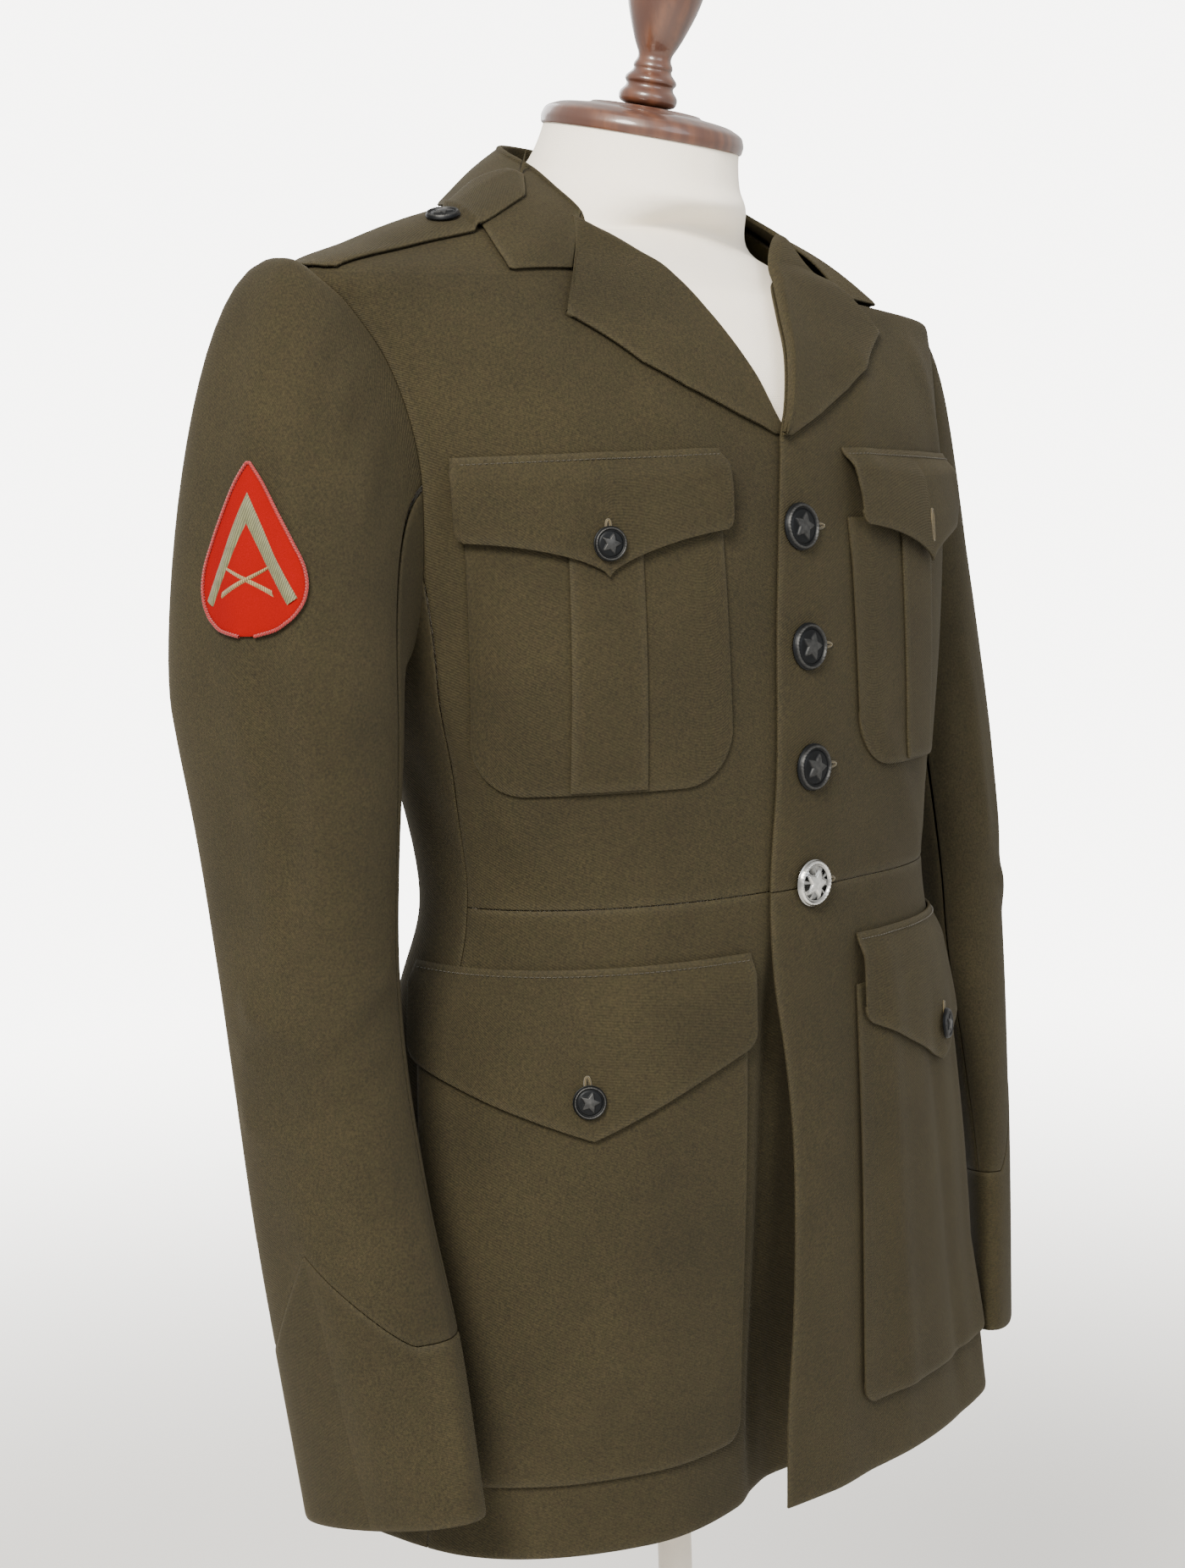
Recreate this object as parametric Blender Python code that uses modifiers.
"""A wool service coat, buttoned, on a limbless dress form with a turned neck cap, a pole and a round foot.

Metres, +Z up. The origin is at the middle of the foot's underside, the coat's front looks along -Y,
and its own right side is at -X. Every cloth piece is a thin wall bent over one of two surfaces: the
body of the coat, which is read from BODY_RINGS, and a sleeve, which is read from SLEEVE_SECTIONS.
"""
import math

import bmesh
import bpy
import numpy as np
from mathutils import Matrix, Vector

# Heights over the floor
HEM = 0.760
FOOT_HEIGHT = 0.026
FOOT_RADIUS = 0.180
POLE_RADIUS = 0.0098
# Cloth
WALL = 0.0014
SEAM = 0.0007
TOUCH = 0.0003
LAY = 0.0009  # a piece lies this far over the cloth below it
# Closure
WAIST_SEAM = 0.338
BUTTON_HEIGHTS = (0.5285, 0.4660, 0.4025, 0.3405)
BUTTON_SEATS = (-0.0002, 0.0, 0.0, 0.0009)  # over the lap; the last one sits across the waist seam
FRONT_BUTTON = 0.0125
SMALL_BUTTON = 0.0088
BUTTON_STEPS = 14
# Form
FORM_BOTTOM = 0.190
NECK_RADIUS = 0.0535
CAP_RADIUS = 0.0525
CAP_CENTRE = (0.0050, -0.0060, 0.7440)
CAP_TILT = (11.0, 5.5)  # degrees, to the front and to the wearer's left

# Rings round the coat, from the hem to the neck, over the hem and round the middle
BODY_COLUMNS = ("height", "half_width", "front", "back", "drop", "rise", "sway", "sag")
BODY_RINGS = (
    (0.0055, 0.214, 0.1125, 0.120, 0.0055, 0.000, 0.012, 0.011),
    (0.080, 0.209, 0.1140, 0.117, 0.000, 0.000, 0.010, 0.011),
    (0.160, 0.203, 0.1155, 0.114, 0.000, 0.000, 0.008, 0.011),
    (0.240, 0.191, 0.1160, 0.102, 0.000, 0.000, 0.008, 0.011),
    (0.290, 0.179, 0.1155, 0.085, 0.000, 0.000, 0.010, 0.011),
    (0.338, 0.169, 0.1150, 0.072, 0.000, 0.000, 0.012, 0.011),
    (0.400, 0.177, 0.1180, 0.083, 0.000, 0.000, 0.011, 0.011),
    (0.465, 0.192, 0.1170, 0.103, 0.000, 0.000, 0.008, 0.011),
    (0.530, 0.203, 0.1135, 0.117, 0.000, 0.000, 0.006, 0.011),
    (0.575, 0.210, 0.1065, 0.119, 0.000, 0.000, 0.005, 0.012),
    (0.615, 0.218, 0.0930, 0.113, 0.000, 0.002, 0.004, 0.016),
    (0.644, 0.225, 0.0780, 0.103, 0.002, 0.004, 0.003, 0.020),
    (0.663, 0.224, 0.0670, 0.094, 0.004, 0.006, 0.002, 0.025),
    (0.6765, 0.188, 0.0600, 0.087, 0.006, 0.006, 0.001, 0.046),
    (0.690, 0.150, 0.0560, 0.082, 0.008, 0.006, 0.000, 0.060),
    (0.700, 0.112, 0.0530, 0.079, 0.010, 0.006, 0.000, 0.056),
    (0.709, 0.084, 0.0520, 0.077, 0.014, 0.003, 0.000, 0.042),
)
SQUARENESS = 2.2
SHOULDER_RING = 12.0
NECK_RING = 16.0
SHOULDER_SEAM = 94.0  # degrees from the front

# Folds that hang from the hem: the side they are on, where, how wide, how deep and how high
DRAPE_COLUMNS = ("side", "angle", "width", "depth", "top")
DRAPES = (
    (1, 64.0, 16.0, 0.012, 0.100),
    (1, 112.0, 16.0, 0.006, 0.200),
    (-1, 108.0, 16.0, 0.007, 0.200),
    (1, 150.0, 13.0, 0.008, 0.2775),
    (-1, 148.0, 13.0, 0.007, 0.2775),
)

# Sections along each sleeve, from the upper arm to its bottom edge
SLEEVE_COLUMNS = ("height", "x", "y", "long", "short", "turn", "pitch", "lean")
SLEEVE_SECTIONS = {
    -1: (
        (0.440, -0.2480, 0.004, 0.066, 0.0510, 4.0, 4.0, 22.0),
        (0.385, -0.2426, 0.008, 0.062, 0.0395, 4.0, 0.0, 8.0),
        (0.320, -0.2381, 0.010, 0.055, 0.0363, 4.0, 2.0, 2.0),
        (0.260, -0.2378, 0.004, 0.053, 0.0347, 4.0, 6.0, 0.0),
        (0.190, -0.2377, -0.008, 0.054, 0.0338, 6.0, 9.0, 0.0),
        (0.120, -0.2350, -0.021, 0.057, 0.0311, 8.0, 10.0, 0.0),
        (0.036, -0.2315, -0.032, 0.058, 0.0241, 9.0, 10.0, 0.0),
    ),
    1: (
        (0.430, 0.2469, 0.022, 0.064, 0.0443, 28.0, 4.0, 20.0),
        (0.375, 0.2557, 0.017, 0.061, 0.0396, 30.0, 0.0, 8.0),
        (0.310, 0.2640, 0.009, 0.057, 0.0340, 36.0, 2.0, 2.0),
        (0.250, 0.2666, 0.001, 0.057, 0.0300, 42.0, 6.0, 0.0),
        (0.180, 0.2668, -0.011, 0.058, 0.0223, 46.0, 8.0, 0.0),
        (0.105, 0.2640, -0.022, 0.059, 0.0160, 48.0, 9.0, 0.0),
        (0.019, 0.2515, -0.034, 0.060, 0.0140, 50.0, 9.0, 0.0),
    ),
}
# How the sleeve head leaves the shoulder: its way out and up, and how far that way and the fall reach
HEAD_COLUMNS = ("out", "up", "reach", "hang")
SLEEVE_HEAD = {-1: (0.57, 0.60, 0.93, 0.46), 1: (0.92, -0.40, 0.34, 0.92)}
ARMPIT = 0.462
ARMHOLE_WIDTH = 22.0  # degrees to the front and to the back of its middle
LAST_SECTION = 7.0
CUFF_LEVEL = 5.90
CUFF_PEAK = 5.16
CUFF_PEAK_ANGLE = 5.0
CUFF_PEAK_WIDTH = 58.0
SIDE_NAMES = {-1: "right", 1: "left"}

RINGS = np.array(BODY_RINGS)
WAIST_RING = 5.0  # the row of BODY_RINGS at the waist seam
RING_STEP = 0.05
ANGLES = np.arange(0.0, 181.0, 1.0)


def smooth(rows, place):
    """Reads rows at a fractional row number, on a smooth curve through all of them."""
    rows = np.asarray(rows, float)
    place = np.clip(np.asarray(place, float), 0, len(rows) - 1)
    i = np.clip(place.astype(int), 0, len(rows) - 2)
    f = (place - i)[..., None]
    b, c = rows[i], rows[i + 1]
    a = np.where((i > 0)[..., None], rows[np.maximum(i - 1, 0)], 2 * b - c)
    d = np.where((i + 2 < len(rows))[..., None], rows[np.minimum(i + 2, len(rows) - 1)], 2 * c - b)
    return 0.5 * (2 * b + (c - a) * f + (2 * a - 5 * b + 4 * c - d) * f**2 + (3 * b - a - 3 * c + d) * f**3)


def ring_at(height):
    """The ring number at a height over the hem."""
    fine = np.linspace(0, NECK_RING, 1601)
    return np.interp(height, smooth(RINGS, fine)[:, 0], fine)


def ease(x):
    """0 below 0, 1 above 1 and an S between them."""
    x = np.clip(x, 0.0, 1.0)
    return x * x * (3 - 2 * x)


def signed_power(x, power):
    return np.sign(x) * np.abs(x) ** power


def drape(angle, height):
    """How far the hanging folds push the cloth out."""
    out = np.zeros(np.broadcast(angle, height).shape)
    for side, middle, width, depth, top in DRAPES:
        across = (angle * side - middle) / width
        out = out + depth * np.exp(-(across**2)) * np.clip(1 - height / top, 0, 1)
    return out


def sag_at(x, sag):
    """The coat hangs lower on the wearer's left."""
    return sag * (x + np.hypot(x, 0.06)) / 0.448


def ring_point(angle, ring):
    """A point on the coat's outside, over the hem; the angle is in degrees from the front."""
    height, wide, front, back, drop, rise, sway, sag = np.moveaxis(smooth(RINGS, ring), -1, 0)
    s = signed_power(np.sin(np.radians(angle)), 2 / SQUARENESS)
    c = signed_power(np.cos(np.radians(angle)), 2 / SQUARENESS)
    fold = drape(angle, height)
    x = (wide + sway * np.sign(s) + fold) * s
    y = -(np.where(c > 0, front, back) + fold) * c
    z = height - drop * np.clip(c, 0, 1) + rise * np.clip(-c, 0, 1) - sag_at(x, sag)
    return np.stack([x, y, z], -1)


def coat(angle, ring, out=0.0):
    """A world point at a distance out of the coat's surface."""
    angle, ring, out = np.broadcast_arrays(*(np.asarray(v, float) for v in (angle, ring, out)))
    p = ring_point(angle, ring)
    across = ring_point(angle + 0.5, ring) - ring_point(angle - 0.5, ring)
    up = ring_point(angle, np.minimum(ring + 0.03, NECK_RING)) - ring_point(angle, np.maximum(ring - 0.03, 0))
    normal = np.cross(across, up)
    normal /= np.maximum(np.linalg.norm(normal, axis=-1, keepdims=True), 1e-12)
    return p + normal * out[..., None] + np.array([0, 0, HEM])


def tape_tables():
    """The length round each ring from the front to each angle, on either side."""
    rings = np.arange(0, NECK_RING + RING_STEP / 2, RING_STEP)
    tables = {}
    for side in SIDE_NAMES:
        p = ring_point(side * ANGLES[None, :], rings[:, None])
        steps = np.linalg.norm(np.diff(p, axis=1), axis=-1)
        tables[side] = np.concatenate([np.zeros((len(rings), 1)), np.cumsum(steps, axis=1)], axis=1)
    return tables


TAPE = tape_tables()


def angle_at(side, tape, ring):
    """The angle at a length round the ring from the front; less than 0 is past the middle."""
    tape, ring = np.broadcast_arrays(np.asarray(tape, float), np.asarray(ring, float))
    shape = tape.shape
    tape, ring = tape.ravel(), ring.ravel()
    place = np.clip(ring / RING_STEP, 0, len(TAPE[1]) - 1.001)
    i = place.astype(int)
    f = (place - i)[:, None]
    angles = np.empty(len(tape))
    for way in (-1, 1):
        pick = (tape >= 0) if way > 0 else (tape < 0)
        if not pick.any():
            continue
        rows = TAPE[side * way][i[pick]] * (1 - f[pick]) + TAPE[side * way][i[pick] + 1] * f[pick]
        length = np.abs(tape[pick])
        j = np.clip((rows < length[:, None]).sum(axis=1) - 1, 0, rows.shape[1] - 2)
        k = np.arange(len(length))
        part = (length - rows[k, j]) / (rows[k, j + 1] - rows[k, j])
        angles[pick] = side * way * (ANGLES[j] + part * (ANGLES[1] - ANGLES[0]))
    return angles.reshape(shape)


def tape_at(side, angle, ring):
    """The length round the ring from the front to an angle on one side, in degrees."""
    place = np.clip(np.asarray(ring, float) / RING_STEP, 0, len(TAPE[1]) - 1.001)
    i = place.astype(int)
    f = place - i
    return np.array([
        (1 - g) * np.interp(a, ANGLES, TAPE[side][k]) + g * np.interp(a, ANGLES, TAPE[side][k + 1])
        for a, k, g in np.nditer([np.asarray(angle, float), i, f])
    ]).reshape(np.shape(i))


def on_coat(side, tape, ring, out=0.0):
    return coat(angle_at(side, tape, ring), ring, out)


def from_above(x, y):
    """The angle and ring of the point of the shoulders that lies at x, y."""
    x, y = np.broadcast_arrays(np.asarray(x, float), np.asarray(y, float))
    low, high = np.full(x.shape, 11.0), np.full(x.shape, NECK_RING)
    for _ in range(30):
        middle = (low + high) / 2
        _, wide, front, back, _, _, sway, _ = np.moveaxis(smooth(RINGS, middle), -1, 0)
        deep = np.where(y < 0, front, back)
        outside = (np.abs(x) / (wide + sway * np.sign(x))) ** SQUARENESS + (np.abs(y) / deep) ** SQUARENESS > 1
        low, high = np.where(outside, low, middle), np.where(outside, middle, high)
    s = (np.abs(x) / (wide + sway * np.sign(x))) ** (SQUARENESS / 2)
    c = (np.abs(y) / deep) ** (SQUARENESS / 2)
    angle = np.degrees(np.arctan2(s, c * np.where(y < 0, 1, -1)))
    return angle * np.sign(x), low


def armhole(side, phi):
    """phi is 0 at the shoulder, 90 at the front, 180 under the arm and 270 at the back."""
    phi = np.radians(phi)
    low = ring_at(ARMPIT)
    ring = (low + SHOULDER_RING) / 2 + (SHOULDER_RING - low) / 2 * np.cos(phi)
    angle = 90.0 - ARMHOLE_WIDTH * np.sin(phi) + (SHOULDER_SEAM - 90.0) * (1 + np.cos(phi)) / 2
    return side * angle, ring


def section(side, phi, row):
    height, x, y, lengthwise, thick, turn, pitch, lean = np.moveaxis(smooth(SLEEVE_SECTIONS[side], row), -1, 0)
    turn, pitch, lean = np.radians(turn), np.radians(pitch), np.radians(lean)
    c = signed_power(np.cos(np.radians(phi)), 0.95)
    s = signed_power(np.sin(np.radians(phi)), 0.95)
    outward = np.stack([side * np.cos(lean) * np.cos(turn), -np.cos(lean) * np.sin(turn), np.sin(lean)], -1)
    forward = np.stack([-side * np.sin(turn) * np.cos(pitch), -np.cos(turn) * np.cos(pitch), np.sin(pitch)], -1)
    return np.stack([x, y, height], -1) + (thick * c)[..., None] * outward + (lengthwise * s)[..., None] * forward


def sleeve_point(side, phi, row):
    """Row 0 is the armhole, row 1 the upper arm and the last row the bottom edge."""
    body = section(side, phi, np.maximum(row - 1, 0))
    start = ring_point(*armhole(side, phi))
    end = section(side, phi, np.zeros_like(row))
    down = section(side, phi, np.full_like(row, 0.05)) - end
    down /= np.linalg.norm(down, axis=-1, keepdims=True)
    up = (1 + np.cos(np.radians(phi))) / 2
    span = np.linalg.norm(end - start, axis=-1)
    head_out, head_up, reach, hang = SLEEVE_HEAD[side]
    away = np.stack([
        side * (0.55 + (head_out - 0.55) * up), -0.16 * np.sin(np.radians(phi)), -0.75 + (0.75 + head_up) * up,
    ], -1)
    away /= np.linalg.norm(away, axis=-1, keepdims=True)
    away = away * (span * (0.75 + (reach - 0.75) * up))[..., None]
    down = down * (span * (0.8 + (hang - 0.8) * up))[..., None]
    f = np.clip(row, 0, 1)[..., None]
    cap = (2 * f**3 - 3 * f**2 + 1) * start + (f**3 - 2 * f**2 + f) * away
    cap = cap + (-2 * f**3 + 3 * f**2) * end + (f**3 - f**2) * down
    return np.where((row < 1)[..., None], cap, body)


def sleeve(side, phi, row, out=0.0):
    """A world point at a distance out of a sleeve's surface."""
    phi, row, out = np.broadcast_arrays(*(np.asarray(v, float) for v in (phi, row, out)))
    p = sleeve_point(side, phi, row)
    round_ = sleeve_point(side, phi + 1, row) - sleeve_point(side, phi - 1, row)
    down = sleeve_point(side, phi, np.minimum(row + 0.02, LAST_SECTION))
    down = down - sleeve_point(side, phi, np.maximum(row - 0.02, 0))
    normal = np.cross(round_, down) * side
    normal /= np.maximum(np.linalg.norm(normal, axis=-1, keepdims=True), 1e-12)
    return p + normal * out[..., None] + np.array([0, 0, HEM])


def on_sleeve(side, middle, across, up, out):
    """A point that lies across and up from the middle (phi, row) of a patch on a sleeve."""
    base = sleeve(side, *middle)
    e_up = sleeve(side, middle[0], middle[1] - 0.05) - base
    e_up /= np.linalg.norm(e_up)
    e_round = sleeve(side, middle[0] + 1, middle[1]) - base
    e_round -= e_up * (e_round @ e_up)
    e_round /= np.linalg.norm(e_round)
    bend = 0.062
    want = np.stack([bend * np.sin(across / bend), up], -1)
    phi, row = np.full(across.shape, middle[0]), np.full(across.shape, middle[1])

    def miss(phi, row):
        d = sleeve(side, phi, row) - base
        return np.stack([d @ e_round, d @ e_up], -1) - want

    for _ in range(8):
        m = miss(phi, row)
        a, b = miss(phi + 0.5, row) - m, miss(phi, row + 0.01) - m
        det = a[..., 0] * b[..., 1] - a[..., 1] * b[..., 0]
        phi = phi - 0.5 * (m[..., 0] * b[..., 1] - m[..., 1] * b[..., 0]) / det
        row = row - 0.01 * (a[..., 0] * m[..., 1] - a[..., 1] * m[..., 0]) / det
    return sleeve(side, phi, row, out)


# Materials: colour as seen, roughness and metallic value
FINISHES = {
    "wool_gabardine": ((0x4F, 0x47, 0x2E), 0.85, 0.0),
    "felt_red": ((0xC8, 0x1E, 0x1C), 0.85, 0.0),
    "button_gunmetal": ((0x45, 0x46, 0x48), 0.45, 0.7),
    "button_nickel": ((0x8C, 0x8C, 0x8A), 0.30, 0.9),
    "cotton_cream": ((0xF0, 0xE9, 0xDC), 0.80, 0.0),
    "wood_varnished": ((0x5A, 0x33, 0x1E), 0.30, 0.0),
    "steel_painted": ((0xC8, 0xC2, 0xB6), 0.40, 0.0),
}


def linear(value):
    value /= 255
    return value / 12.92 if value <= 0.04045 else ((value + 0.055) / 1.055) ** 2.4


def make_material(name):
    rgb, roughness, metallic = FINISHES[name]
    material = bpy.data.materials.new(name)
    material.use_nodes = True
    shader = material.node_tree.nodes["Principled BSDF"]
    shader.inputs["Base Color"].default_value = (*(linear(v) for v in rgb), 1.0)
    shader.inputs["Roughness"].default_value = roughness
    shader.inputs["Metallic"].default_value = metallic
    return material


def add_object(name, mesh, finish):
    mesh.materials.append(bpy.data.materials[finish])
    thing = bpy.data.objects.new(name, mesh)
    bpy.data.collections["service_coat"].objects.link(thing)
    mesh.shade_smooth()
    mesh.set_sharp_from_angle(angle=math.radians(35))
    return thing


def bend_grid(columns, rows, place):
    """A grid of quads whose vertices go to place(u, v), u and v from 0 to 1."""
    bm = bmesh.new()
    bmesh.ops.create_grid(bm, x_segments=columns, y_segments=rows, size=1.0)
    flat = np.array([v.co[:2] for v in bm.verts])
    points = place((flat[:, 0] + 1) / 2, (flat[:, 1] + 1) / 2)
    for vertex, point in zip(bm.verts, points):
        vertex.co = point
    return bm


def thicken(thing, thickness):
    """Gives a sheet its thickness, inwards."""
    solid = thing.modifiers.new("thickness", "SOLIDIFY")
    solid.thickness = thickness
    solid.offset = -1.0
    solid.use_even_offset = True
    return thing


def wall(name, columns, rows, place, finish="wool_gabardine", thickness=WALL):
    """A cloth wall: place(u, v, out) gives its outside, and the thickness goes inwards."""
    bm = bend_grid(columns, rows, lambda u, v: place(u, v, 0.0))
    middle = np.array([0.47])
    outward = (place(middle, middle, 1e-3) - place(middle, middle, 0.0))[0]
    bm.faces.ensure_lookup_table()
    centre = place(middle, middle, 0.0)[0]
    nearest = min(bm.faces, key=lambda face: (face.calc_center_median() - Vector(centre)).length)
    nearest.normal_update()
    if nearest.normal.dot(Vector(outward)) < 0:
        bmesh.ops.reverse_faces(bm, faces=bm.faces[:])
    mesh = bpy.data.meshes.new(name)
    bm.normal_update()
    bm.to_mesh(mesh)
    bm.free()
    return thicken(add_object(name, mesh, finish), thickness)


def turned(name, profile, steps, place, finish):
    """A Screw of a profile of radius and height, top to bottom, set in place by a matrix."""
    mesh = bpy.data.meshes.new(name)
    bm = bmesh.new()
    corners = [bm.verts.new((radius, 0, height)) for radius, height in profile]
    for a, b in zip(corners, corners[1:]):
        bm.edges.new((a, b))
    bm.to_mesh(mesh)
    bm.free()
    thing = add_object(name, mesh, finish)
    screw = thing.modifiers.new("turn", "SCREW")
    screw.steps = screw.render_steps = steps
    screw.use_merge_vertices = True
    screw.merge_threshold = 1e-5
    thing.matrix_world = place
    return thing


# Seam lines of the coat's pieces
ROLL_COLUMNS = ("ring", "tape")
ROLL_LINE = (
    (9.0, -0.004), (9.5, 0.0075), (10.0, 0.0165), (11.0, 0.0288), (12.0, 0.0385),
    (13.0, 0.0490), (14.0, 0.0690), (14.5, 0.0815), (15.3, 0.0960), (16.0, 0.1040),
)
EDGE_COLUMNS = ("height", "past_middle")
FRONT_EDGE = (
    (0.000, 0.0270), (0.050, 0.0255), (0.100, 0.0205), (0.150, 0.0180), (0.210, 0.0180), (0.250, 0.0220),
    (0.290, 0.0275), (0.340, 0.0280), (0.400, 0.0245), (0.490, 0.0190), (0.550, 0.0100), (0.574, 0.0040),
)
UNDER_EDGE = 0.020  # the right front reaches this far under the left one
FRONT_SEAM_PHI, BACK_SEAM_PHI = 135.0, 225.0
PHI_STEP = 22.5  # rows round the armhole, shared by the body and the sleeves
FRONT_SEAM_WAIST, BACK_SEAM_WAIST = 82.0, 124.0
GORGE_RING = 14.5


def roll_tape(ring):
    return np.interp(ring, [r for r, _ in ROLL_LINE], [t for _, t in ROLL_LINE])


def front_tape(side, ring):
    """Where a front panel's inner edge lies: its front edge, then the roll line."""
    height = smooth(RINGS, ring)[..., 0]
    past = np.interp(height, [h for h, _ in FRONT_EDGE], [p for _, p in FRONT_EDGE])
    edge = -past if side > 0 else np.full_like(height, -UNDER_EDGE) + (UNDER_EDGE - 0.004) * ease((height - 0.52) / 0.05)
    return np.where(np.asarray(ring) < ROLL_LINE[0][0], edge, roll_tape(ring))


def seam_angle(ring, waist_angle, phi):
    """A side seam, from the hem at the waist's angle to where it meets the armhole."""
    end_angle, end_ring = armhole(1, np.array(phi))
    return waist_angle + (end_angle - waist_angle) * ease((ring - 5.0) / (end_ring - 5.0)) ** 1.2


def lap(side, tape, height):
    """How far a front lies out of the coat's surface: the left one laps over the right."""
    near = ease((0.055 - tape) / 0.045)
    low = ease((0.325 - height) / 0.325)
    if side > 0:
        return near * (0.0032 + 0.0015 * low)
    return -near * 0.0004 - 0.026 * low * ease((0.115 - tape) / 0.125)


def cuff_line(phi):
    """The row of the pointed seam where the cuff begins."""
    away = np.abs((phi - CUFF_PEAK_ANGLE + 180) % 360 - 180) / CUFF_PEAK_WIDTH
    return CUFF_LEVEL + (CUFF_PEAK - CUFF_LEVEL) * np.clip(1 - away, 0, 1) ** 1.45


def read(values, u):
    return np.interp(u, np.linspace(0, 1, len(values)), values)


def seam_rings():
    """The rows that both sides of a side seam share: below the waist seam and above it."""
    top = armhole(1, np.array(FRONT_SEAM_PHI))[1]
    return np.linspace(0.0, WAIST_RING, 5), np.linspace(WAIST_RING, top, 4)


def front_upper(side):
    low = seam_rings()[1][:-1].copy()
    low[0] += 0.006
    phis = np.arange(FRONT_SEAM_PHI, -1, -PHI_STEP)
    _, middle = armhole(1, phis)
    high = np.linspace(SHOULDER_RING, NECK_RING, 5)[1:]
    rings = np.concatenate([low, middle, high])
    outer = np.concatenate([
        seam_angle(low, FRONT_SEAM_WAIST, FRONT_SEAM_PHI), armhole(1, phis)[0], np.full(4, SHOULDER_SEAM),
    ])
    edge_tape = tape_at(side, outer, rings) - SEAM / 2

    def place(u, v, out):
        ring = read(rings, v)
        inner = front_tape(side, ring)
        tape = inner + (read(edge_tape, v) - inner) * u
        return on_coat(side, tape, ring, out + lap(side, tape, smooth(RINGS, ring)[..., 0]))

    return wall(f"front_{SIDE_NAMES[side]}", 7, len(rings) - 1, place)


def front_skirt(side):
    rings = seam_rings()[0].copy()
    rings[-1] -= 0.002

    def place(u, v, out):
        ring = read(rings, v)
        inner = front_tape(side, ring)
        outer = tape_at(side, seam_angle(ring, FRONT_SEAM_WAIST, FRONT_SEAM_PHI), ring) - SEAM / 2
        tape = inner + (outer - inner) * u
        return on_coat(side, tape, ring, out + lap(side, tape, smooth(RINGS, ring)[..., 0]))

    return wall(f"skirt_{SIDE_NAMES[side]}", 11, len(rings) - 1, place)


def side_body(side):
    phis = np.arange(FRONT_SEAM_PHI, BACK_SEAM_PHI + 1, PHI_STEP)
    top_angles, top_rings = armhole(1, phis)
    low, high = seam_rings()
    rows = np.concatenate([low, high[1:]])

    def place(u, v, out):
        top_ring = read(top_rings, u)
        ring = read(rows, v) + (top_ring - rows[-1]) * v**2
        front = tape_at(side, seam_angle(ring, FRONT_SEAM_WAIST, FRONT_SEAM_PHI), ring) + SEAM / 2
        back = tape_at(side, seam_angle(ring, BACK_SEAM_WAIST, BACK_SEAM_PHI), ring) - SEAM / 2
        at_top = tape_at(side, read(top_angles, u), top_ring)
        f_top = tape_at(side, np.full_like(u, top_angles[0]), top_ring)
        b_top = tape_at(side, np.full_like(u, top_angles[-1]), top_ring)
        share = u + ((at_top - f_top) / (b_top - f_top) - u) * v**3
        return on_coat(side, front + (back - front) * share, ring, out)

    return wall(f"side_{SIDE_NAMES[side]}", 4, len(rows) - 1, place)


def back_panel(side):
    skirt_rows, body_rows = seam_rings()
    low = np.concatenate([skirt_rows, body_rows[1:-1]])
    phis = np.arange(BACK_SEAM_PHI, 361, PHI_STEP)
    _, middle = armhole(1, phis)
    high = np.linspace(SHOULDER_RING, NECK_RING, 5)[1:]
    rings = np.concatenate([low, middle, high])
    outer = np.concatenate([
        seam_angle(low, BACK_SEAM_WAIST, BACK_SEAM_PHI), armhole(1, phis)[0], np.full(4, SHOULDER_SEAM),
    ])
    edge_tape = tape_at(side, outer, rings) + SEAM / 2
    middle_tape = tape_at(side, np.full(len(rings), 180.0), rings)

    def place(u, v, out):
        ring = read(rings, v)
        height = smooth(RINGS, ring)[..., 0]
        vent = SEAM / 2 + 0.0022 * ease((0.20 - height) / 0.16)
        last = read(middle_tape, v) - vent
        first = read(edge_tape, v)
        return on_coat(side, first + (last - first) * u, ring, out)

    return wall(f"back_{SIDE_NAMES[side]}", 6, len(rings) - 1, place)


# Columns of the two sleeve pieces, and the gap between the coat and a sleeve's first edge
TOP_SLEEVE = (-112.5, 112.5, 20)
UNDER_SLEEVE = (112.5, 247.5, 6)
SLEEVE_START = {-1: 0.0012, 1: 0.0018}
SLEEVE_ROWS = (0.0, 0.15, 0.33, 0.5, 0.66, 0.82, 1.0, 2.0, 3.0, 4.0)
SLEEVE_BEND = 0.018  # the radius of a sleeve's bend at its seams


def sleeve_piece(side, name, first, last, columns):
    rows = len(SLEEVE_ROWS)
    seam = math.degrees(SEAM / 2 / SLEEVE_BEND)

    def place(u, v, out):
        phi = first + (last - first) * u
        end = cuff_line(phi) - 0.0025
        row = np.where(v > 1 - 0.5 / rows, end, read((*SLEEVE_ROWS, LAST_SECTION), v))
        lift = SLEEVE_START[side] * (1 - ease(row / 0.12))
        edge = np.clip((np.abs(u - 0.5) - 0.5 + 1e-6) * 1e6, 0, 1) * np.sign(u - 0.5)
        point = sleeve(side, phi - edge * seam, row, out) + lift[..., None] * start_way(side, phi)
        return point + (start_chord(side, phi) - coat(*armhole(side, phi))) * (1 - ease(row / 0.3))[..., None]

    return wall(f"{name}_{SIDE_NAMES[side]}", columns, rows, place)


def start_chord(side, phi):
    """The armhole's edge as the body's rows make it, straight from row to row."""
    low = np.floor(phi / PHI_STEP) * PHI_STEP
    share = ((phi - low) / PHI_STEP)[..., None]
    return coat(*armhole(side, low)) * (1 - share) + coat(*armhole(side, low + PHI_STEP)) * share


def start_way(side, phi):
    """The way out of the coat at the armhole."""
    angle, ring = armhole(side, phi)
    return coat(angle, ring, 1.0) - coat(angle, ring, 0.0)


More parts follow.
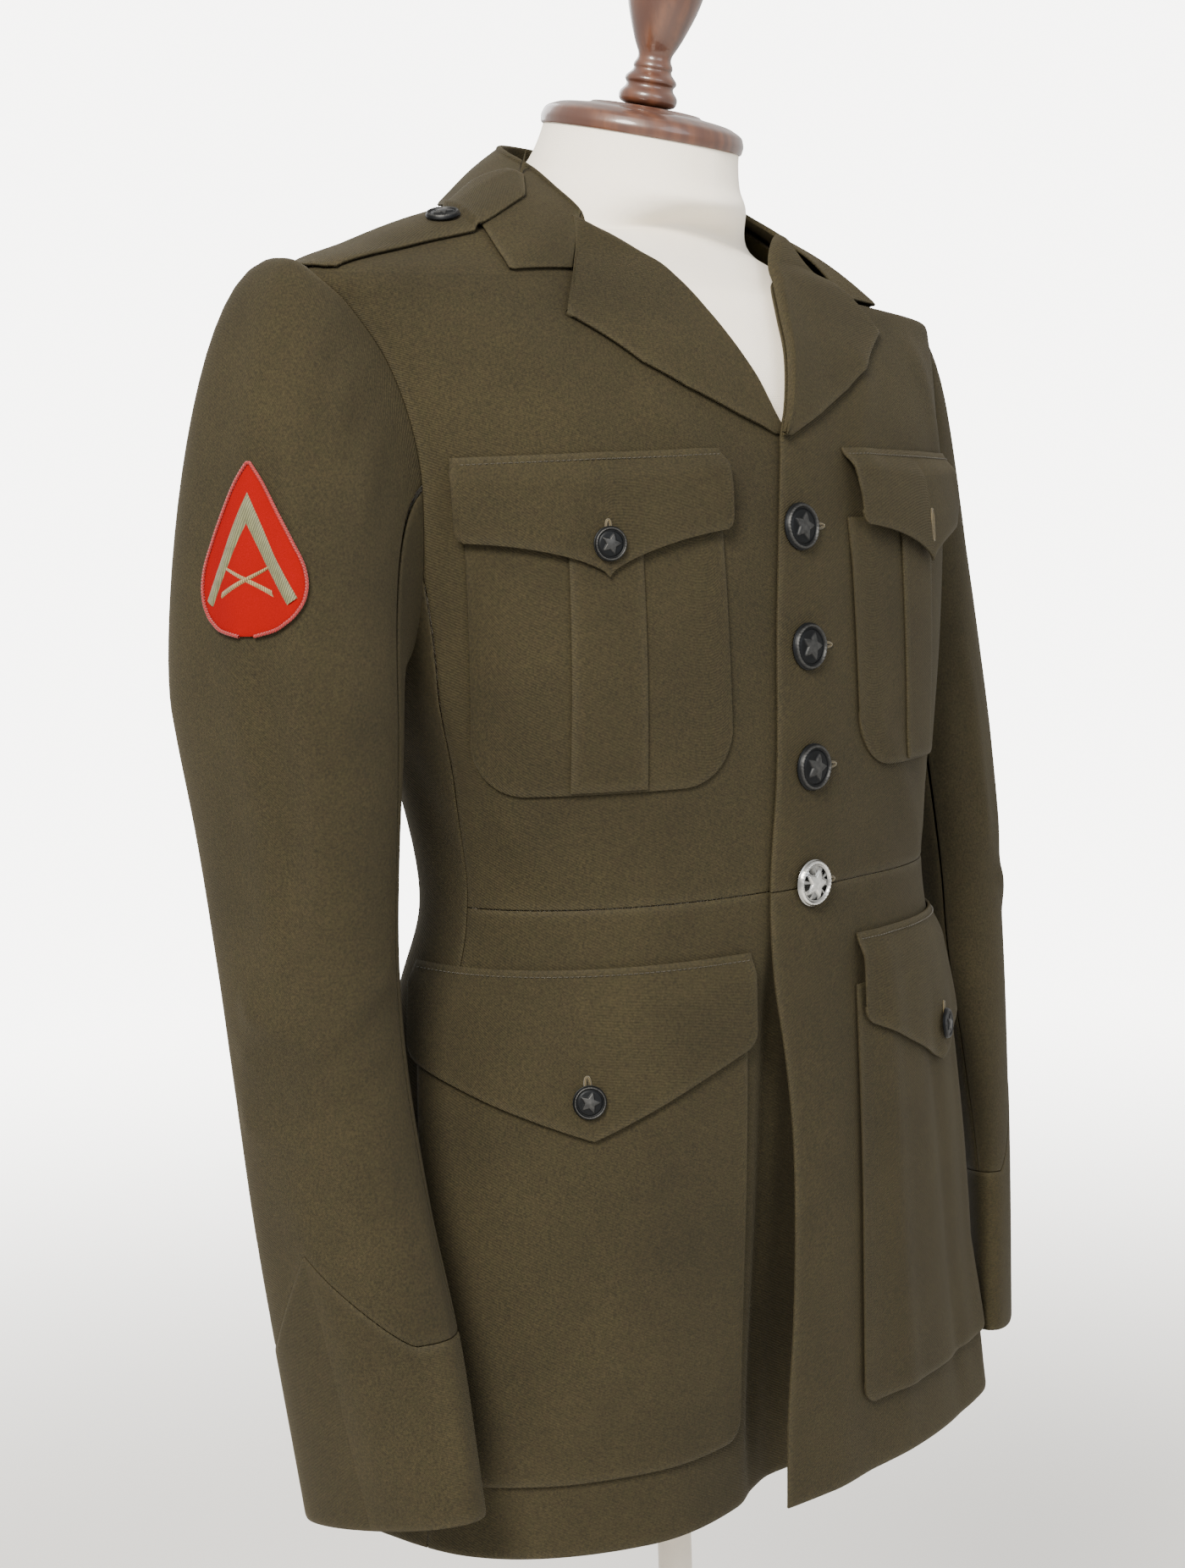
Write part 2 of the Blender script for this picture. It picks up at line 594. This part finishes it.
def cuff(side):
    def place(u, v, out):
        phi = -180 + 360 * u
        first = cuff_line(phi) + 0.0025
        return sleeve(side, phi, first + (LAST_SECTION - first) * v, out)

    bm = bend_grid(32, 2, lambda u, v: place(u, v, 0.0))
    bmesh.ops.remove_doubles(bm, verts=bm.verts[:], dist=1e-5)
    mesh = bpy.data.meshes.new(f"cuff_{SIDE_NAMES[side]}")
    bm.normal_update()
    face = bm.faces[:][0]
    centre = Vector(sleeve(side, 0.0, 6.5)) * 0.5 + Vector(sleeve(side, 180.0, 6.5)) * 0.5
    if (face.calc_center_median() - centre).dot(face.normal) < 0:
        bmesh.ops.reverse_faces(bm, faces=bm.faces[:])
    bm.to_mesh(mesh)
    bm.free()
    return thicken(add_object(mesh.name, mesh, "wool_gabardine"), WALL)


# The lapel's outer edge and the collar, as ring and tape
LAPEL_EDGE = (
    (0.00, 8.96, -0.0035), (0.25, 9.28, 0.0300), (0.50, 9.63, 0.0610), (0.72, 9.98, 0.0850),
    (0.90, 10.85, 0.1195), (1.00, 12.30, 0.1010),
)
LAPEL_EDGE_COLUMNS = ("along", "ring", "tape")
LAPEL_START = {-1: 9.40, 1: 9.0}  # the ring where each lapel leaves the front edge
COLLAR_SAG = 0.038
COLLAR_LEAN = 0.006  # the left half of the collar stands this much nearer the neck
FOLD_HALF = 0.0018  # half the thickness of the collar's fold
STAND_SHARE, FOLD_SHARE = 0.3, 0.2  # of the rows across the collar
FALL_BULGE = 0.0030
GORGE_SHARE = 0.2
COLLAR_COLUMNS = ("along", "fold_x", "fold_y", "fold_height", "edge_x", "edge_y")
COLLAR = (
    (0.00, 0.0800, -0.0440, 0.6935, 0.1030, -0.0590),
    (0.10, 0.0790, -0.0370, 0.6985, 0.1405, -0.0535),
    (0.24, 0.0775, -0.0240, 0.7065, 0.1375, -0.0360),
    (0.40, 0.0735, -0.0020, 0.7190, 0.1270, -0.0030),
    (0.58, 0.0650, 0.0290, 0.7310, 0.1080, 0.0360),
    (0.76, 0.0450, 0.0550, 0.7380, 0.0740, 0.0690),
    (0.90, 0.0200, 0.0685, 0.7405, 0.0320, 0.0840),
    (1.00, 0.0000, 0.0710, 0.7405, 0.0000, 0.0860),
)


def lapel(side):
    alongs = [row[0] for row in LAPEL_EDGE]

    def place(u, v, out):
        start = LAPEL_START[side]
        inner_ring = start + (GORGE_RING - start) * u
        inner_tape = roll_tape(inner_ring) - 0.0010
        outer_ring = np.maximum(np.interp(u, alongs, [row[1] for row in LAPEL_EDGE]), start)
        outer_tape = np.interp(u, alongs, [row[2] for row in LAPEL_EDGE])
        ring = inner_ring + (outer_ring - inner_ring) * v
        tape = inner_tape + (outer_tape - inner_tape) * v
        over = 0.0042 * (1 - (1 - np.clip(v / 0.12, 0, 1)) ** 2) + 0.0022 - 0.0026 * v
        tape = np.maximum(tape, roll_tape(start) - 0.0005)
        return on_coat(side, tape, ring, over + base_out(side, tape, ring) + out)

    return wall(f"lapel_{SIDE_NAMES[side]}", 9, 5, place)


def lean(side, x, y):
    """How far the left half of the collar moves to the neck; nothing at the centre back and the gorge."""
    return np.where(side > 0, COLLAR_LEAN * ease(x / 0.05) * ease((y + 0.045) / 0.03), 0.0)


def collar_lines(u):
    """The fold and the outer edge of the collar; u is -1 at the right gorge and 1 at the left one."""
    table = np.array(COLLAR)
    along = 1 - np.abs(u)
    fold = np.stack([np.interp(along, table[:, 0], table[:, k]) for k in (1, 2, 3)], -1)
    edge_x = np.interp(along, table[:, 0], table[:, 4]) * np.sign(u)
    edge_y = np.interp(along, table[:, 0], table[:, 5])
    fold[..., 0] = (fold[..., 0] - lean(np.sign(u), fold[..., 0], fold[..., 1])) * np.sign(u)
    fold[..., 2] -= sag_at(fold[..., 0], COLLAR_SAG)
    return fold, edge_x - lean(np.sign(u), np.abs(edge_x), edge_y), edge_y


def collar_base(u, out):
    """Where the collar is sewn on: up the roll line and then round the neck."""
    along = 1 - np.abs(u)
    side = np.where(u < 0, -1, 1)
    ring = GORGE_RING + (NECK_RING - GORGE_RING) * np.clip(along / GORGE_SHARE, 0, 1)
    first = np.where(side < 0, angle_at(-1, roll_tape(ring), ring), angle_at(1, roll_tape(ring), ring))
    last = side * 180.0
    angle = first + (last - first) * np.clip((along - GORGE_SHARE) / (1 - GORGE_SHARE), 0, 1)
    return coat(angle, ring, 0.0024 + out)


def collar():
    """The stand rises from the neck seam to the fold, and the fall lies outside it."""
    def place(u, v, out):
        u = 2 * u - 1
        u = np.where(np.abs(u) < 1e-9, 1e-9, u)
        out = np.broadcast_to(np.asarray(out, float), u.shape)
        fold, edge_x, edge_y = collar_lines(u)
        angle, ring = from_above(edge_x, edge_y)
        edge = coat(angle, ring, 0.0030 + out)
        fold = fold + np.array([0, 0, HEM])
        inward = -fold * np.array([1, 1, 0])
        inward /= np.linalg.norm(inward, axis=-1, keepdims=True)
        up = np.array([0, 0, 1.0])
        top_in = fold + inward * (FOLD_HALF - out)[..., None]
        top_out = fold - inward * (FOLD_HALF + out)[..., None]
        rise = np.clip(v / STAND_SHARE, 0, 1)[..., None]
        turn = np.pi * np.clip((v - STAND_SHARE) / FOLD_SHARE, 0, 1)[..., None]
        fall = np.clip((v - STAND_SHARE - FOLD_SHARE) / (1 - STAND_SHARE - FOLD_SHARE), 0, 1)[..., None]
        base = collar_base(u, 0.0) + inward * (0.0008 - out)[..., None]
        stand = base + (top_in - base) * rise
        crest = fold + inward * (FOLD_HALF - out)[..., None] * np.cos(turn)
        crest = crest + up * np.sin(turn) * (FOLD_HALF + out)[..., None]
        crest = np.where(np.cos(turn) < 0, fold - inward * (FOLD_HALF + out)[..., None] * -np.cos(turn)
                         + up * np.sin(turn) * (FOLD_HALF + out)[..., None], crest)
        over = top_out + (edge - top_out) * fall + up * FALL_BULGE * np.sin(np.pi * fall)
        v = v[..., None]
        return np.where(v < STAND_SHARE, stand, np.where(v < STAND_SHARE + FOLD_SHARE, crest, over))

    return wall("collar", 20, 10, place, thickness=0.0012)


def collar_top(side, x, y):
    """The height of the fall's outside over a point, and -1 beside the collar."""
    table = np.array(COLLAR)
    edge_x = np.interp(y, table[1:, 5], table[1:, 4])
    fold_x, fold_z = np.interp(y, table[:, 2], table[:, 1]), np.interp(y, table[:, 2], table[:, 3])
    edge_x, fold_x = edge_x - lean(side, edge_x, y), fold_x - lean(side, fold_x, y)
    share = (edge_x - x) / (edge_x - fold_x)
    edge_z = coat(*from_above(side * edge_x, y), 0.0030)[..., 2]
    fold_z = fold_z + HEM - sag_at(side * fold_x, COLLAR_SAG)
    top = edge_z + (fold_z - edge_z) * share + FALL_BULGE * np.sin(np.pi * np.clip(share, 0, 1))
    return np.where(share > -0.08, top, -1.0)


# The flat pieces on the fronts, in ring heights and tape lengths
CHEST_POCKET = {"inner": 0.0530, "outer": 0.1925, "top": 0.5330, "bottom": 0.3985, "corner": 0.030}
SKIRT_LIFT = 0.0009  # the skirt bends more, so what lies on it stands a little prouder
SKIRT_POCKET = {"inner": 0.0470, "outer": 0.2330, "top": 0.2800, "bottom": 0.0435, "corner": 0.012}
CHEST_FLAP = {"inner": 0.0490, "outer": 0.1965, "top": 0.5700, "corner": 0.5290, "tip": 0.5085, "scallop": 0.6}
SKIRT_FLAP = {"inner": 0.0425, "outer": 0.2365, "top": 0.3080, "corner": 0.2600, "tip": 0.2215, "scallop": 1.1}
PLEAT = {"middle": 0.1225, "half": 0.0195}
LEFT_SHIFT = -0.0100  # the left pieces sit this much nearer the front edge


def shift(side):
    return LEFT_SHIFT if side > 0 else 0.0


def base_out(side, tape, ring):
    return lap(side, tape, smooth(RINGS, ring)[..., 0])


def pocket(side, name, size, over):
    """A patch pocket with rounded lower corners."""
    width = size["outer"] - size["inner"]

    def place(u, v, out):
        across = 0.5 - 0.5 * np.cos(np.pi * u) if size["corner"] > 0.02 else u
        edge = np.clip(size["corner"] - width * np.minimum(across, 1 - across), 0, None)
        low = size["bottom"] + size["corner"] - np.sqrt(np.maximum(size["corner"]**2 - edge**2, 0))
        ring = ring_at(low + (size["top"] - low) * v)
        tape = size["inner"] + shift(side) + width * across
        return on_coat(side, tape, ring, over + base_out(side, tape, ring) + out)

    return wall(f"{name}_{SIDE_NAMES[side]}", 10, 5, place)


def pleat(side):
    """The box pleat down the middle of a chest pocket."""
    over = LAY * 2 + WALL * 2 - 0.0002
    first, last = CHEST_POCKET["bottom"] + 0.0015, CHEST_POCKET["top"]

    def place(u, v, out):
        ring = ring_at(first + (last - first) * v)
        tape = PLEAT["middle"] + shift(side) + PLEAT["half"] * (2 * u - 1)
        return on_coat(side, tape, ring, over + base_out(side, tape, ring) + out)

    return wall(f"chest_pleat_{SIDE_NAMES[side]}", 2, 5, place)


def flap_bottom(size, across):
    """The lower edge of a pointed flap; across runs from 0 to 1."""
    rise = np.abs(2 * across - 1)
    rounded = size["tip"] + (size["corner"] - size["tip"]) * rise ** size["scallop"]
    rounded = rounded + 0.0035 * (1 - rise) * rise * 2
    end = np.clip((rise - 0.93) / 0.07, 0, 1)
    return rounded + 0.007 * (1 - np.sqrt(1 - end**2))


def flap_over(side, name, v):
    """The flap's height over the coat: sewn down at its top, then over the pocket."""
    open_flap = 0.0030 if (side > 0 and name == "chest_flap") else 0.0
    layers = 0.0026 if name == "chest_flap" else SKIRT_LIFT
    sewn = WALL + 0.0005 + (SKIRT_LIFT if name == "skirt_flap" else 0.0)
    return sewn + (2 * LAY + WALL + layers) * ease((1 - v) / 0.30) + open_flap * ease((1 - v) / 0.8)


def flap(side, name, size):
    width = size["outer"] - size["inner"]

    def place(u, v, out):
        low = flap_bottom(size, u)
        ring = ring_at(low + (size["top"] - low) * v)
        tape = size["inner"] + shift(side) * 0.3 + width * u
        return on_coat(side, tape, ring, flap_over(side, name, v) + base_out(side, tape, ring) + out)

    return wall(f"{name}_{SIDE_NAMES[side]}", 12, 4, place)


# Shoulder strap: the line along its middle, as x and y, and its half width
STRAP_COLUMNS = ("along", "x", "y", "half")
STRAP = (
    (0.00, 0.2250, 0.0090, 0.0225), (0.30, 0.1800, -0.0010, 0.0220), (0.60, 0.1380, -0.0095, 0.0215),
    (0.85, 0.1040, -0.0065, 0.0200), (1.00, 0.0860, -0.0020, 0.0060),
)
STRAP_OVER = WALL + 0.0016  # clear of the thread at the shoulder seam


def strap_end(y):
    """The strap ends along the armhole."""
    return np.interp(y, (-0.018, -0.007, 0.006, 0.0245, 0.037), (0.2150, 0.2195, 0.2190, 0.2148, 0.2084))


def strap(side):
    table = np.array(STRAP)

    def place(u, v, out):
        x = np.interp(u, table[:, 0], table[:, 1])
        y = np.interp(u, table[:, 0], table[:, 2]) + np.interp(u, table[:, 0], table[:, 3]) * (2 * v - 1)
        x = np.minimum(x, strap_end(y))
        point = coat(*from_above(side * x, y), STRAP_OVER + out)
        over_collar = collar_top(side, x, y) + WALL + 0.0017 + out
        point[..., 2] = np.maximum(point[..., 2], over_collar)
        return point

    return wall(f"shoulder_strap_{SIDE_NAMES[side]}", 10, 3, place)


BADGE_LAY = 0.0008
BADGE = {"middle": {-1: (23.5, 0.690), 1: (-26.0, 0.690)}, "half_width": 0.0295, "up": 0.0425, "down": 0.0395}


def badge_outline(v):
    """Half the width of the teardrop badge, v from 0 at its foot to 1 at its point."""
    return np.interp(v, (0.0, 0.03, 0.08, 0.16, 0.27, 0.38, 0.55, 0.75, 0.90, 1.0),
                     (0.12, 0.45, 0.70, 0.90, 1.0, 0.97, 0.76, 0.46, 0.22, 0.03))


def badge(side):
    def place(u, v, out):
        up = -BADGE["down"] + (BADGE["up"] + BADGE["down"]) * v
        across = (2 * u - 1) * BADGE["half_width"] * badge_outline(v)
        out = np.broadcast_to(np.asarray(out, float), u.shape)
        return on_sleeve(side, BADGE["middle"][side], across, up, WALL + BADGE_LAY + out)

    return wall(f"badge_{SIDE_NAMES[side]}", 4, 10, place, "felt_red")


def seat(point, normal):
    """A matrix that stands a turned piece on a point, along a normal."""
    return Matrix.Translation(point) @ Vector(normal).to_track_quat("Z", "Y").to_matrix().to_4x4()


def button_profile(radius):
    thick = 0.30 * radius
    return (
        (0.0, thick * 1.12), (radius * 0.80, thick * 0.92), (radius, thick * 0.55),
        (radius * 0.92, thick * 0.25), (radius * 0.28, 0.0), (0.0, 0.0),
    )


def button_on_coat(name, side, tape, height, out, radius, finish="button_gunmetal"):
    ring = ring_at(height)
    base = on_coat(side, tape, ring, out)
    normal = on_coat(side, tape, ring, out + 1.0) - base
    turned(name, button_profile(radius), BUTTON_STEPS, seat(base, normal), finish)


def buttons():
    for k, (height, seat_over) in enumerate(zip(BUTTON_HEIGHTS, BUTTON_SEATS)):
        finish = "button_nickel" if k == 3 else "button_gunmetal"
        over = lap(1, 0.0, height) + seat_over
        button_on_coat(f"front_button_{k + 1}", 1, 0.0005, height, over, FRONT_BUTTON, finish)
    for side, word in SIDE_NAMES.items():
        chest_over = flap_over(side, "chest_flap", 0.16) + 0.0005
        if side < 0:
            button_on_coat(f"chest_button_{word}", side, 0.1225, 0.5250, chest_over, SMALL_BUTTON)
        skirt_over = flap_over(side, "skirt_flap", 0.25) + 0.0005
        button_on_coat(f"skirt_button_{word}", side, 0.1408 + 0.3 * shift(side), 0.2420, skirt_over, SMALL_BUTTON)
        angle, ring = from_above(np.array(side * 0.1450), np.array(-0.0110))
        base, top = coat(angle, ring, STRAP_OVER + 0.0004), coat(angle, ring, 1.0)
        turned(f"strap_button_{word}", button_profile(SMALL_BUTTON), BUTTON_STEPS, seat(base, top - base), "button_gunmetal")


FORM_INSIDE_COLUMNS = ("ring", "depth")
FORM_INSIDE = (
    (2.0, 0.026), (4.0, 0.014), (5.0, 0.010), (8.0, 0.007), (10.0, 0.005), (11.0, 0.0044), (12.0, 0.0042),
    (14.0, 0.0040), (15.0, 0.0070), (16.0, 0.0130),
)
NECK_COLUMNS = ("below_cap", "wider")
NECK_ROWS = ((0.027, 0.0035), (0.014, 0.0012), (0.000, 0.0000))


def form_rows():
    """Ring numbers of the form's body and how far it stays inside the coat."""
    rings = np.concatenate([np.linspace(ring_at(FORM_BOTTOM), 11.0, 11), [11.5, 12.0, 12.5, 13.0, 14.0, 15.0, 16.0]])
    inside = np.interp(rings, [r for r, _ in FORM_INSIDE], [d for _, d in FORM_INSIDE])
    return rings, inside


def form():
    """The cloth-covered body and neck of the dress form."""
    rings, inside = form_rows()
    below, wider = np.array(NECK_ROWS).T
    rows = len(rings) + len(below) - 1
    axis = cap_axis()
    centre = np.array(CAP_CENTRE) + np.array([0, 0, HEM])
    side_way = np.cross(axis, [0, -1, 0])
    side_way /= np.linalg.norm(side_way)
    front_way = np.cross(side_way, axis)

    def place(u, v):
        k = np.rint(v * rows).astype(int)
        angle = -180 + 360 * u
        j = np.minimum(k, len(rings) - 1)
        body = coat(angle, rings[j], -WALL - inside[j])
        s, c = np.sin(np.radians(angle)), np.cos(np.radians(angle))
        round_ = s[:, None] * side_way + c[:, None] * front_way
        body[:, 2] = np.where(k == 0, HEM + FORM_BOTTOM, body[:, 2])
        n = np.maximum(k - len(rings), 0)
        neck = centre + round_ * (NECK_RADIUS + wider[n])[:, None] - axis * below[n][:, None]
        return np.where((k < len(rings))[:, None], body, neck)

    bm = bend_grid(24, rows, place)
    bmesh.ops.remove_doubles(bm, verts=bm.verts[:], dist=1e-5)
    bmesh.ops.holes_fill(bm, edges=[e for e in bm.edges if e.is_boundary], sides=0)
    bmesh.ops.recalc_face_normals(bm, faces=bm.faces[:])
    mesh = bpy.data.meshes.new("form_body")
    bm.to_mesh(mesh)
    bm.free()
    add_object("form_body", mesh, "cotton_cream")


def cap_axis():
    forward, left = (math.tan(math.radians(a)) for a in CAP_TILT)
    axis = np.array([left, -forward, 1.0])
    return axis / np.linalg.norm(axis)


def stand():
    axis = cap_axis()
    base = np.array(CAP_CENTRE) + np.array([0, 0, HEM]) + axis * TOUCH
    cap_profile = (
        (0.0, 0.0095), (0.040, 0.0074), (0.0500, 0.0055), (CAP_RADIUS, 0.0030), (0.0500, 0.0), (0.0, 0.0),
    )
    turned("neck_cap", cap_profile, 24, seat(base, axis), "wood_varnished")
    finial_profile = (
        (0.0, 0.1120), (0.0110, 0.1090), (0.0190, 0.0980), (0.0228, 0.0770), (0.0205, 0.0560), (0.0130, 0.0350),
        (0.0082, 0.0262), (0.0112, 0.0213), (0.0098, 0.0190), (0.0150, 0.0140), (0.0120, 0.0105), (0.0165, 0.0060),
        (0.0150, 0.0), (0.0, 0.0),
    )
    turned("finial", finial_profile, 16, seat(base + axis * (0.0095 + TOUCH), axis), "wood_varnished")
    bottom = HEM + FORM_BOTTOM - TOUCH
    foot_top = FOOT_HEIGHT + TOUCH
    pole_profile = ((0.0, bottom), (POLE_RADIUS, bottom), (POLE_RADIUS, foot_top), (0.0, foot_top))
    turned("pole", pole_profile, 20, Matrix.Identity(4), "steel_painted")
    foot_profile = (
        (0.0, FOOT_HEIGHT), (0.026, FOOT_HEIGHT), (0.030, 0.022), (0.034, 0.0135), (0.160, 0.0085),
        (FOOT_RADIUS, 0.0040), (FOOT_RADIUS - 0.001, 0.0), (0.0, 0.0),
    )
    turned("foot", foot_profile, 32, Matrix.Identity(4), "steel_painted")


def main():
    for thing in list(bpy.data.objects):
        bpy.data.objects.remove(thing, do_unlink=True)
    bpy.context.scene.collection.children.link(bpy.data.collections.new("service_coat"))
    for finish in FINISHES:
        make_material(finish)
    for side in SIDE_NAMES:
        front_upper(side)
        front_skirt(side)
        side_body(side)
        back_panel(side)
        sleeve_piece(side, "top_sleeve", *TOP_SLEEVE)
        sleeve_piece(side, "under_sleeve", *UNDER_SLEEVE)
        cuff(side)
        lapel(side)
        pocket(side, "chest_pocket", CHEST_POCKET, LAY + WALL)
        pocket(side, "skirt_pocket", SKIRT_POCKET, LAY + WALL + SKIRT_LIFT)
        pleat(side)
        flap(side, "chest_flap", CHEST_FLAP)
        flap(side, "skirt_flap", SKIRT_FLAP)
        strap(side)
        badge(side)
    collar()
    buttons()
    form()
    stand()


main()
